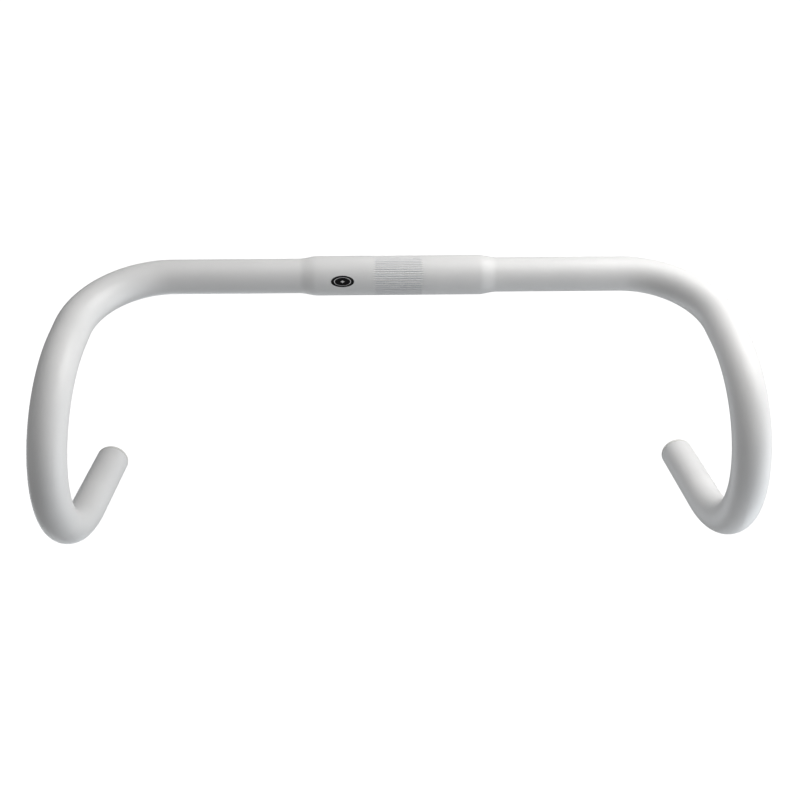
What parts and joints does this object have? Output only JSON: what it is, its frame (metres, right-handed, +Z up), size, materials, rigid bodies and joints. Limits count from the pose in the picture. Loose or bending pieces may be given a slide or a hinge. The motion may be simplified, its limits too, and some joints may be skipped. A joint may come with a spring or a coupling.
{
  "type": "drop handlebar",
  "caption": "Round-hook bicycle drop handlebar: a bent, white-painted tube, swollen and knurled at the stem clamp, with an expanding plug in each end",
  "frame": {"origin": "Centre of the stem clamp, on the tube's axis.", "axes": "+X is the rider's left, so it is on the right when the bar is seen from the front. +Y is rearward, so the hooks reach forward to -Y. +Z is up, with the drops level."},
  "size_m": [0.4358, 0.1376, 0.1699],
  "materials": {
    "white_paint": "satin",
    "black_ink": "satin",
    "white_nylon": "satin",
    "dark_rubber": "matte",
    "alloy": "satin",
    "steel": "satin"
  },
  "bodies": {
    "handlebar": {"bent_tube": "white_paint", "printed_mark": "black_ink"},
    "left_plug": {"left_plug_cap": "white_nylon", "left_plug_sleeve": "dark_rubber"},
    "left_screw": {"left_plug_screw": "steel"},
    "left_cone": {"left_plug_cone": "alloy"},
    "right_plug": {"right_plug_cap": "white_nylon", "right_plug_sleeve": "dark_rubber"},
    "right_screw": {"right_plug_screw": "steel"},
    "right_cone": {"right_plug_cone": "alloy"}
  },
  "joints": [
    {"name": "left_plug_pull", "type": "slide", "parent": "handlebar", "child": "left_plug", "axis": [-0.0432, 0.9991, 0.0001], "range_m": [0, 0.035]},
    {"name": "left_cone_slide", "type": "slide", "parent": "left_plug", "child": "left_cone", "axis": [-0.0432, 0.9991, 0.0001], "range_m": [-0.004, 0]},
    {"name": "left_screw_turn", "type": "hinge", "parent": "left_plug", "child": "left_screw", "pos_m": [0.20348, 0.01458, -0.14622], "axis": [-0.0432, 0.9991, 0.0001], "range_deg": [0, 1800]},
    {"name": "right_plug_pull", "type": "slide", "parent": "handlebar", "child": "right_plug", "axis": [0.0432, 0.9991, 0.0001], "range_m": [0, 0.035]},
    {"name": "right_cone_slide", "type": "slide", "parent": "right_plug", "child": "right_cone", "axis": [0.0432, 0.9991, 0.0001], "range_m": [-0.004, 0]},
    {"name": "right_screw_turn", "type": "hinge", "parent": "right_plug", "child": "right_screw", "pos_m": [-0.20348, 0.01458, -0.14622], "axis": [0.0432, 0.9991, 0.0001], "range_deg": [0, 1800]}
  ],
  "couplings": [
    {"joint": "left_screw_turn", "follows": "left_cone_slide", "rad_per_m": -7853.9},
    {"joint": "right_screw_turn", "follows": "right_cone_slide", "rad_per_m": -7853.9}
  ]
}
